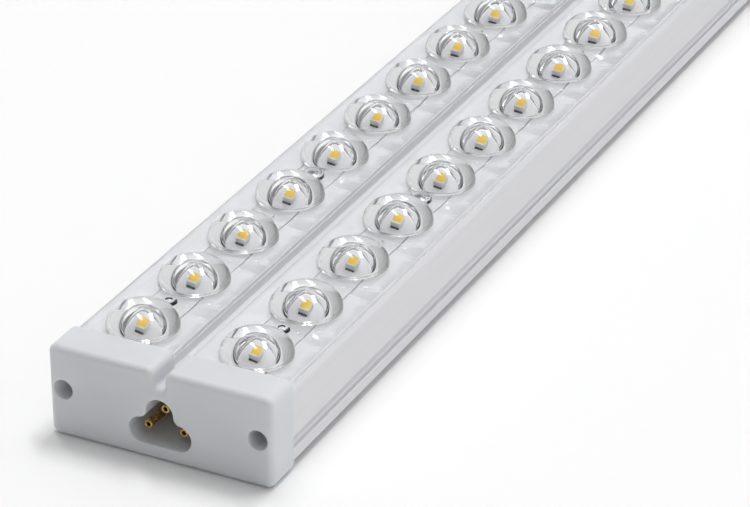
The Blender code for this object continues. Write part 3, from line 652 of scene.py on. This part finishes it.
def cell(profile, half_x, half_y, along, z, even=False):
    """Rings of a (radius, height) profile at the angles of the border's points, then the border
    at height z. With even, the angles are those of the border squeezed to a square."""
    edge = border(half_x, half_y, ACROSS, along)
    shape = edge / (half_x, half_y) if even else edge
    angle = np.arctan2(shape[:, 1], shape[:, 0])
    profile = np.asarray(profile, float)
    r, h = profile[:, :1], np.repeat(profile[:, 1:], len(angle), axis=1)
    rings = np.stack([r * np.cos(angle), r * np.sin(angle), h], axis=-1)
    return np.concatenate([rings, np.insert(edge, 2, z, axis=1)[None]])


step = np.array([[DOME_R - 0.1, 0.6], [DOME_R, 0.5], [DOME_R, 0.0]])
dome = np.concatenate([superellipse(DOME_R, DOME_H, DOME_FULL, 20)[:-1], step]) + (0.0, PLATE_TOP)
groove = np.array([[7.0, 0.0], [7.8, 0.7], [8.6, 0.0]])
hollow = np.concatenate([superellipse(CAVITY_R, CAVITY_H, CAVITY_FULL, 12), groove]) + (0.0, PLATE_LOW)
print("dome profile", len(dome), "points, top at", dome[0].round(2))

# %% [markdown]
# Three kinds of gap carry a feature. A screw gap has a raised ring round a counterbored hole. A boss
# gap has a small round button with a dimple, left by an ejector pin. A gate gap has the low scar where
# the plastic entered the mould.

# %% Features in the gaps
ring_top, boss_top, gate_top = PLATE_TOP + 1.0, PLATE_TOP + 0.9, PLATE_TOP + 0.4
screw_top = [(1.4, PLATE_LOW), (1.4, 22.3), (2.5, 22.3), (2.5, ring_top - 0.15),
             (2.6, ring_top), (2.9, ring_top), (3.05, ring_top - 0.15), (3.15, PLATE_TOP)]
screw_low = [(1.4, PLATE_LOW)]
boss = [(0.0, boss_top - 0.35), (0.7, boss_top - 0.35), (0.95, boss_top - 0.05),
        (1.2, boss_top), (1.6, boss_top - 0.05), (1.9, boss_top - 0.3), (2.1, PLATE_TOP)]
gate = [(0.0, gate_top + 0.05), (0.6, gate_top), (1.3, gate_top - 0.05), (1.65, gate_top - 0.2),
        (1.9, PLATE_TOP)]
plain_top, plain_low = [(0.0, PLATE_TOP)], [(0.0, PLATE_LOW)]


def gap_profiles(number):
    """Profiles of the top and the underside in the gap after a given lens."""
    if number in SCREW_GAPS:
        return screw_top, screw_low
    if number in BOSS_GAPS:
        return boss, plain_low
    return (gate if number in GATE_GAPS else plain_top), plain_low


def strip_patches(row):
    """All the cells of one strip, its long edges and its two ends."""
    top_half = PLATE_HALF - SOFT_EDGE
    patches = []
    for y in LENS_Y:
        top = cell(dome, top_half, LENS_HALF, ALONG, PLATE_TOP)
        low = cell(hollow, PLATE_HALF, LENS_HALF, ALONG, PLATE_LOW)
        patches += [grid_patch(points + (row, y, 0), closed=True) for points in (top, low)]
    for number, y in enumerate(GAP_Y, 1):
        for profile, half_x, z in zip(gap_profiles(number), (top_half, PLATE_HALF),
                                      (PLATE_TOP, PLATE_LOW)):
            points = cell(profile, half_x, GAP_HALF, GAP_ALONG, z, even=True)
            patches.append(grid_patch(points + (row, y, 0), closed=True))
    lens_y = LENS_Y[:, None] + LENS_HALF * np.linspace(-1, 1, ALONG + 1)
    gap_y = GAP_Y[:, None] + GAP_HALF * np.linspace(-1, 1, GAP_ALONG + 1)[1:-1]
    along = np.sort(np.concatenate([lens_y.ravel(), gap_y.ravel()]))
    edge = np.array([(top_half, PLATE_TOP), (PLATE_HALF - 0.065, PLATE_TOP - 0.065),
                     (PLATE_HALF, PLATE_TOP - SOFT_EDGE), (PLATE_HALF, PLATE_LOW)])
    for side in (-1, 1):
        wall = np.stack(np.broadcast_arrays(row + side * edge[:, :1], along[None],
                                            edge[:, 1:]), axis=-1)
        patches.append((*grid_patch(wall), 1))
    across = np.linspace(-1, 1, ACROSS + 1)[:, None]
    top_line = across * (top_half, 0) + (0, PLATE_TOP)
    low_line = across * (PLATE_HALF, 0) + (0, PLATE_LOW)
    outline = np.concatenate([top_line, edge[1:-1], low_line[::-1], edge[1:-1][::-1] * (-1, 1)])
    for y in (-END, END):
        cut = flat_fill([outline + (row, 0)], lambda flat, y=y: np.insert(flat, 1, y, axis=1))
        patches.append((*cut, 1))
    return patches


for row, side in ((ROW, "right"), (-ROW, "left")):
    make_piece(f"lens_strip_{side}_moulding", strip_patches(row), [clear, cut_edge],
               [f"lens_strip_{side}"])

# %% [markdown]
# ## LED boards
#
# Under each strip lies a narrow board with a white solder mask. A board is an outline with the screw
# holes in it, drawn up from its underside to its top.

# %% LED boards
board_low, board_high = box_mm("led_board_right")
BOARD_HALF, BOARD_LOW, BOARD_TOP = 5.5, board_low[2], 21.6
SCREW_Y = [GAP_Y[gap - 1] for gap in SCREW_GAPS]

mask, tree, shader = finish("white_solder_mask", (0.70, 0.70, 0.71), 0.36,
                            Specular_IOR_Level=0.5)
tree.links.new(tint(tree, noise(tree, 240.0, stretch=(1.0, 0.05, 1.0)), (0.685, 0.69, 0.705),
                    (0.73, 0.73, 0.74)), shader.inputs["Base Color"])
tree.links.new(spread(tree, noise(tree, 90.0), 0.26, 0.40), shader.inputs["Roughness"])
bump(tree, shader, noise(tree, 900.0), 0.006)


def board_patches(row):
    """A flat board with a hole for each lens screw."""
    y = board_high[1]
    plate = np.array([(row + BOARD_HALF, -y), (row + BOARD_HALF, y), (row - BOARD_HALF, y),
                      (row - BOARD_HALF, -y)])
    outlines = [plate] + [circle((row, y), 1.4, 24) for y in SCREW_Y]
    levels = (BOARD_LOW, BOARD_TOP)
    patches = [flat_fill(outlines, lambda flat, z=z: np.insert(flat, 2, z, axis=1)) for z in levels]
    for outline in outlines:
        rows = np.stack([np.insert(outline, 2, z, axis=1) for z in levels])
        patches.append(grid_patch(rows, closed=True))
    return patches


for row, side in ((ROW, "right"), (-ROW, "left")):
    make_piece(f"led_board_{side}_plate", board_patches(row), mask,
               [f"led_board_{side}"])

# %% [markdown]
# ## The LEDs
#
# Each LED is a white frame, 2.8 by 3.5 mm, round a well of yellow phosphor, soldered at its two ends.
# The frame and the phosphor are outlines carried through a short profile. The outline is a
# superellipse |x/a|^p + |y/b|^p = 1, a rectangle whose corners are softer for a smaller p. The solder
# is a concave slope, coloured near-black: painted shade and painted dark reflection at each LED's end.

# %% LED frames, phosphor and solder
LED_X, LED_Y, LED_H = 1.4, 1.75, 0.9


def soft_rectangle(half_x, half_y, sides=24, power=4.0):
    """Outline x = a |cos t|^(2/p) sign(cos t), y = b |sin t|^(2/p) sign(sin t)."""
    t = np.linspace(0, 2 * np.pi, sides, endpoint=False)
    c, s = np.cos(t), np.sin(t)
    return np.stack([half_x * np.sign(c) * np.abs(c) ** (2 / power),
                     half_y * np.sign(s) * np.abs(s) ** (2 / power)], axis=-1)


def layered(layers, base, power=4.0):
    """Rows of soft rectangles, each (half_x, half_y, height above the base)."""
    rows = [np.insert(soft_rectangle(x, y, power=power), 2, base + z, axis=1) for x, y, z in layers]
    return np.stack(rows)


def copies(points, row):
    """One closed patch over each lens centre of a row."""
    places = np.stack([np.full(LENSES, row), LENS_Y, np.zeros(LENSES)], axis=-1)
    return [grid_patch(grid, closed=True) for grid in repeated(points, places)]


WALL_SIDE, WALL_END, WELL_DEPTH, LIFT = 0.12, 0.36, 0.18, 0.02
FRAME_POWER, PHOSPHOR_POWER = 7.0, 5.0
well_x, well_y, well_floor = LED_X - WALL_SIDE, LED_Y - WALL_END, LED_H - WELL_DEPTH
frame_points = layered([(0, 0, LIFT), (LED_X, LED_Y, LIFT), (LED_X, LED_Y, LED_H - 0.08),
                        (LED_X - 0.06, LED_Y - 0.06, LED_H), (well_x, well_y, LED_H),
                        (well_x - 0.05, well_y - 0.1, well_floor), (0, 0, well_floor)],
                       BOARD_TOP, FRAME_POWER)
phosphor_points = layered([(0, 0, well_floor + LIFT),
                           (well_x - 0.06, well_y - 0.06, well_floor + LIFT),
                           (well_x - 0.04, well_y - 0.04, LED_H - 0.06),
                           (well_x * 0.7, well_y * 0.7, LED_H), (0, 0, LED_H + 0.035)],
                          BOARD_TOP, PHOSPHOR_POWER)

led_white = textured("led_frame_resin", (0.82, 0.82, 0.80), (0.76, 0.76, 0.74), (0.35, 0.45), 1500.0,
                     0.004)
phosphor, tree, shader = finish("led_phosphor", (0.96, 0.62, 0.08), 0.38, Subsurface_Weight=0.25,
                                Subsurface_Scale=0.0006)
tree.links.new(tint(tree, noise(tree, 2600.0, 4.0), (0.92, 0.54, 0.05), (0.98, 0.66, 0.10)),
               shader.inputs["Base Color"])
bump(tree, shader, noise(tree, 5200.0), 0.01)
# Painted shade: the solder's near-black metal colour stands in for the shade and dark reflection at each
# LED's end.
solder = textured("solder", (0.20, 0.20, 0.21), (0.08, 0.08, 0.09), (0.22, 0.4), 1800.0, 0.02, 1.0)


SOLDER_HALF, SOLDER_REACH, SOLDER_RISE = 1.1, 0.24, 0.20


def solder_points(end):
    """A concave fillet at one end of an LED: across it, x; up it, (1 - s)^2 of the height."""
    x = np.linspace(-SOLDER_HALF, SOLDER_HALF, 9)
    s = np.linspace(0, 1, 6)
    out = end * (LED_Y + 0.02 + SOLDER_REACH * s)
    height = BOARD_TOP + 0.02 + SOLDER_RISE * (1 - s) ** 2
    slope = np.stack(np.broadcast_arrays(x[None], out[:, None], height[:, None]), axis=-1)
    under = slope.copy()
    under[..., 2] = BOARD_TOP + 0.01
    return np.concatenate([slope, under[::-1]])


def solder_patches(row):
    """Both fillets of every LED, closed at their two sides."""
    patches = []
    for end in (-1, 1):
        loop = solder_points(end)
        sides = [np.stack([loop[:6, i], loop[:5:-1, i]]) for i in (0, -1)]
        for y in LENS_Y:
            patches.append(grid_patch(np.concatenate([loop, loop[:1]]) + (row, y, 0)))
            patches += [grid_patch(side + (row, y, 0), smooth=False) for side in sides]
    return patches


for row, side in ((ROW, "right"), (-ROW, "left")):
    make_piece(f"led_frames_{side}", copies(frame_points, row), led_white)
    make_piece(f"led_phosphor_{side}", copies(phosphor_points, row), phosphor)
    make_piece(f"led_solder_{side}", solder_patches(row), solder)

# %% [markdown]
# ## Screws
#
# A screw head is a height over polar coordinates: a shallow dome less a cross-shaped recess. The recess
# is where the distance to the nearer axis, |x| or |y|, is less than half the blade's width, and it gets
# shallower away from the middle.

# %% Screw heads
steel = textured("bright_steel", (0.74, 0.74, 0.76), (0.54, 0.54, 0.56), (0.18, 0.34), 900.0, 0.01, 1.0)


def screw_head(radius, height, recess):
    """Rings of (r, a) with z = height (1 - 0.35 (r/R)^2) - recess(r, a), then the rounded rim, the
    underside and a point on the axis. Heights are above the seat."""
    r = np.concatenate([np.linspace(0.0, 0.92, 15), [0.97, 1.0]])[:, None] * radius
    a = np.linspace(0, 2 * np.pi, 48, endpoint=False)[None]
    x, y = r * np.cos(a), r * np.sin(a)
    blade = 0.16 * radius
    near = np.minimum(np.abs(x), np.abs(y))
    far = np.maximum(np.abs(x), np.abs(y))
    slot = np.clip((blade - near) / (0.05 * radius) + 0.5, 0, 1)
    slot *= np.clip((0.62 * radius - far) / (0.1 * radius) + 0.5, 0, 1)
    depth = recess * (1 - 0.5 * r / radius)
    z = height * (1 - 0.35 * (r / radius) ** 2) - slot * depth
    z[-2], z[-1] = height * 0.52, height * 0.35
    top = np.stack([x, y, z + 0 * x], axis=-1)
    rim_low = np.stack([x[-1], y[-1], 0 * x[-1]], axis=-1)[None]
    return np.concatenate([top, rim_low])


def screw_patches(place, axis, radius, height, recess, shank_r, shank_length):
    """Head and shank, turned so that the head faces along the axis."""
    head = screw_head(radius, height, recess)
    shank = turned([(radius, 0.0), (shank_r, 0.0), (shank_r, -shank_length), (0.0, -shank_length)], 48)
    points = np.concatenate([head, shank[1:]])
    if axis != "Z":
        sign = -1 if axis == "-Y" else 1
        points = np.stack([points[..., 0], sign * points[..., 2], points[..., 1]], axis=-1)
    return [grid_patch(points + np.asarray(place, float), closed=True)]


for row, side in ((ROW, "right"), (-ROW, "left")):
    for number, y in enumerate(SCREW_Y, 1):
        make_piece(f"lens_screw_{side}_{number}_head",
                   screw_patches((row, y, 22.5), "Z", 2.25, 1.5, 0.9, 1.0, 5.0), steel,
                   [f"lens_screw_{side}_{number}"])
for end, axis, name in ((-1, "-Y", "inlet"), (1, "Y", "outlet")):
    for hand, side in (("left", -1), ("right", 1)):
        place = (side * PORT[0], end * (-FACE - 7.0), PORT[1])
        make_piece(f"cap_screw_{name}_{hand}_head",
                   screw_patches(place, axis, 2.3, 1.7, 1.1, 1.25, 15.0), steel,
                   [f"cap_screw_{name}_{hand}"])

# %% [markdown]
# ## Inlet pins
#
# Each pin is a brass rod with a hollow, chamfered tip. Its profile runs from the bottom of the bore in
# the tip, over the rounded rim and down the outside.

# %% Inlet pins
brass, tree, shader = finish("brass", (0.62, 0.42, 0.16), 0.28, 1.0)
tree.links.new(tint(tree, noise(tree, 700.0, 3.0), (0.52, 0.34, 0.11), (0.70, 0.47, 0.17)),
               shader.inputs["Base Color"])
tree.links.new(spread(tree, noise(tree, 1200.0), 0.2, 0.4), shader.inputs["Roughness"])
bump(tree, shader, noise(tree, 2600.0, stretch=(1.0, 0.05, 1.0)), 0.006)

for name in ("live", "neutral", "earth"):
    low, high = box_mm(f"inlet_pin_{name}")
    centre = ((low[0] + high[0]) / 2, low[1], (low[2] + high[2]) / 2)
    radius, bore, length = (high[0] - low[0]) / 2, 0.55, high[1] - low[1]
    tip = arc((bore + 0.25, 0.3), 0.28, 180, 270, 4)
    shoulder = arc((radius - 0.35, 0.35), 0.35, 270, 360, 6)
    profile = np.concatenate([[(0.0, 3.2), (bore - 0.03, 3.0)], tip, shoulder,
                              [(radius, 2.6), (radius - 0.05, 2.7), (radius, 2.8), (radius, length),
                               (0.0, length)]])
    make_piece(f"inlet_pin_{name}_rod", [grid_patch(turned(profile, 40, centre, "Y"), closed=True)],
               brass, [f"inlet_pin_{name}"])

# %% [markdown]
# ## Parts inside
#
# The driver, its wiring and the far end's contacts keep their CAD shapes, which are right. Each gets a
# finish of its own kind: plastics with a moulded grain, coated parts, ferrite, board and insulation.

# %% Finishes of the parts inside
inside = {
    "cap_white": textured("carrier_plastic", (0.90, 0.91, 0.93), (0.85, 0.86, 0.89), (0.4, 0.5),
                          1600.0, 0.01),
    "tray": textured("tray_sheet", (0.70, 0.70, 0.64), (0.62, 0.62, 0.57), (0.35, 0.5), 400.0, 0.01),
    "green_board": textured("green_solder_mask", (0.03, 0.22, 0.09), (0.02, 0.15, 0.06), (0.25, 0.4),
                            300.0, 0.01),
    "green_block": textured("green_terminal", (0.05, 0.35, 0.16), (0.03, 0.27, 0.12), (0.35, 0.5),
                            900.0, 0.02),
    "white_block": textured("white_terminal", (0.78, 0.77, 0.72), (0.70, 0.69, 0.64), (0.35, 0.5),
                            900.0, 0.02),
    "ceramic": textured("ceramic_tube", (0.74, 0.66, 0.48), (0.64, 0.56, 0.40),
                        (0.4, 0.6), 800.0, 0.02),
    "blue_disc": textured("blue_epoxy", (0.06, 0.18, 0.58), (0.04, 0.13, 0.46),
                          (0.2, 0.4), 500.0, 0.05),
    "tape": textured("yellow_tape", (0.84, 0.66, 0.12), (0.74, 0.56, 0.08), (0.25, 0.4), 350.0, 0.02),
    "ferrite": textured("ferrite", (0.12, 0.12, 0.12), (0.06, 0.06, 0.06), (0.45, 0.7), 1800.0, 0.03),
    "epoxy": textured("black_epoxy", (0.035, 0.035, 0.035), (0.02, 0.02, 0.02),
                      (0.3, 0.5), 1500.0, 0.01),
    "sleeve": textured("dark_sleeve", (0.05, 0.06, 0.14), (0.03, 0.04, 0.10), (0.2, 0.35), 300.0, 0.01),
    "brown": textured("brown_insulation", (0.24, 0.10, 0.05), (0.18, 0.07, 0.03),
                      (0.3, 0.45), 900.0, 0.01),
    "blue": textured("blue_insulation", (0.06, 0.20, 0.66), (0.04, 0.15, 0.54),
                     (0.3, 0.45), 900.0, 0.01),
    "earth": textured("green_yellow_insulation", (0.16, 0.46, 0.08), (0.62, 0.60, 0.06), (0.3, 0.45),
                      160.0, 0.01, stretch=(6.0, 0.4, 6.0)),
    "red": textured("red_insulation", (0.66, 0.06, 0.05), (0.54, 0.04, 0.03), (0.3, 0.45), 900.0, 0.01),
    "black": textured("black_insulation", (0.04, 0.04, 0.04), (0.02, 0.02, 0.02),
                      (0.3, 0.45), 900.0, 0.01),
}
dressed = {
    "cap_white": ["inlet_pin_carrier", "outlet_contact_block"],
    "tray": ["driver_tray"], "green_board": ["driver_board"], "green_block": ["input_terminal"],
    "white_block": ["output_terminal"], "ceramic": ["fuse"], "blue_disc": ["varistor"],
    "tape": ["mains_capacitor"], "ferrite": ["mains_choke", "transformer", "output_choke"],
    "epoxy": ["bridge_rectifier", "controller_chip", "output_diode"],
    "sleeve": ["bulk_capacitor", "output_capacitor"],
    "brown": ["live_lead", "live_through_wire"], "blue": ["neutral_lead", "neutral_through_wire"],
    "earth": ["earth_lead", "earth_through_wire"],
    "red": ["led_lead_left_plus", "led_lead_right_plus"],
    "black": ["led_lead_left_minus", "led_lead_right_minus"],
}


def dress(node, material):
    """Give a CAD node a finish, in each of its material slots."""
    part = nodes[node]
    for slot in part.material_slots:
        slot.material = material
    if not part.material_slots:
        part.data.materials.append(material)


for key, members in dressed.items():
    for node in members:
        dress(node, inside[key])
for node in ("outlet_contact_live", "outlet_contact_neutral", "outlet_contact_earth"):
    dress(node, brass)
dress("earth_tag", steel)
print("dressed", sum(len(members) for members in dressed.values()) + 4, "nodes")

# %% [markdown]
# ## Floor, light and world
#
# The floor is plain and pale. Light comes from a soft sky that is brighter overhead, behind and to
# the right, and a little to the back left, with two soft windows in it high over the batten. Clear
# lenses show what is round them, so the darker side of the sky gives the domes their grey edges, and the
# windows their bright spots. A camera ray that misses the floor sees a plain pale backdrop.

# %% Floor
floor_mesh = bpy.data.meshes.new("floor")
floor_mesh.from_pydata([(-6, -6, 0), (6, -6, 0), (6, 6, 0), (-6, 6, 0)], [], [(0, 1, 2, 3)])
floor = bpy.data.objects.new("floor", floor_mesh)
floor_white, tree, shader = finish("floor_white", (0.97, 0.97, 0.97), 0.9, Specular_IOR_Level=0.1)
floor_mesh.materials.append(floor_white)
bpy.context.scene.collection.objects.link(floor)

# %% Sky with two soft windows
world = bpy.data.worlds.new("studio")
bpy.context.scene.world = world
world.use_nodes = True
sky = world.node_tree
sky.nodes.clear()


def math_node(operation, first, second=None, clamp=False):
    """One arithmetic node of the sky; its inputs are sockets or plain numbers."""
    node = sky.nodes.new("ShaderNodeMath")
    node.operation = operation
    node.use_clamp = clamp
    for socket, value in zip(node.inputs, (first, second)):
        if isinstance(value, (int, float)):
            socket.default_value = value
        elif value is not None:
            sky.links.new(value, socket)
    return node.outputs[0]


look = sky.nodes.new("ShaderNodeTexCoord").outputs["Generated"]


def along_axis(axis):
    """Cosine between the direction looked at and an axis."""
    dot = sky.nodes.new("ShaderNodeVectorMath")
    dot.operation = "DOT_PRODUCT"
    dot.inputs[1].default_value = axis
    sky.links.new(look, dot.inputs[0])
    return dot.outputs["Value"]


def window(azimuth, elevation, roll, half_wide, half_tall, strength):
    """A soft rectangle of light at a direction, rolled about it; sizes are tangents of its half
    angles."""
    az, el, turn = (math.radians(angle) for angle in (azimuth, elevation, roll))
    middle = Vector((math.sin(az) * math.cos(el), math.cos(az) * math.cos(el), math.sin(el)))
    level = Vector((math.cos(az), -math.sin(az), 0.0))
    steep = middle.cross(level)
    wide = math.cos(turn) * level + math.sin(turn) * steep
    tall = math.cos(turn) * steep - math.sin(turn) * level
    facing = along_axis(middle)
    safe = math_node("MAXIMUM", facing, 0.05)
    glow = math_node("GREATER_THAN", facing, 0.05)
    for axis, half in ((wide, half_wide), (tall, half_tall)):
        off = math_node("ABSOLUTE", math_node("DIVIDE", along_axis(axis), safe))
        soft = math_node("DIVIDE", math_node("SUBTRACT", half, off), 0.12 * half, clamp=True)
        glow = math_node("MULTIPLY", glow, soft)
    return math_node("MULTIPLY", glow, strength)


SKY_BASE = 0.02
SKY_SLOPES = (((0, 0, 1), 0.40), ((0, 1, 0), 0.40), ((1, 0, 0), 0.44), ((-0.62, 0.78, 0), 0.22))
# Each window: azimuth, elevation and roll in degrees, half width and half height, strength
WINDOWS = ((12, 69, 55, 0.055, 0.24, 26.0), (-48, 75, 0, 0.05, 0.24, 12.0))
light = SKY_BASE
for axis, strength in SKY_SLOPES:
    slope = math_node("MULTIPLY", math_node("MAXIMUM", along_axis(axis), 0.0), strength)
    light = math_node("ADD", slope, light)
for values in WINDOWS:
    light = math_node("ADD", light, window(*values))
lit = sky.nodes.new("ShaderNodeBackground")
sky.links.new(light, lit.inputs["Strength"])
lit.inputs["Color"].default_value = (1.0, 1.0, 1.0, 1.0)
plain = sky.nodes.new("ShaderNodeBackground")
plain.inputs["Color"].default_value = (1.0, 1.0, 1.0, 1.0)
plain.inputs["Strength"].default_value = 0.98
choose = sky.nodes.new("ShaderNodeMixShader")
sky.links.new(sky.nodes.new("ShaderNodeLightPath").outputs["Is Camera Ray"], choose.inputs["Fac"])
sky.links.new(lit.outputs[0], choose.inputs[1])
sky.links.new(plain.outputs[0], choose.inputs[2])
sky.links.new(choose.outputs[0], sky.nodes.new("ShaderNodeOutputWorld").inputs["Surface"])

scene = bpy.context.scene
scene.view_settings.view_transform = "Standard"
scene.view_settings.exposure = 0.0
print("sky has", len(WINDOWS), "windows")
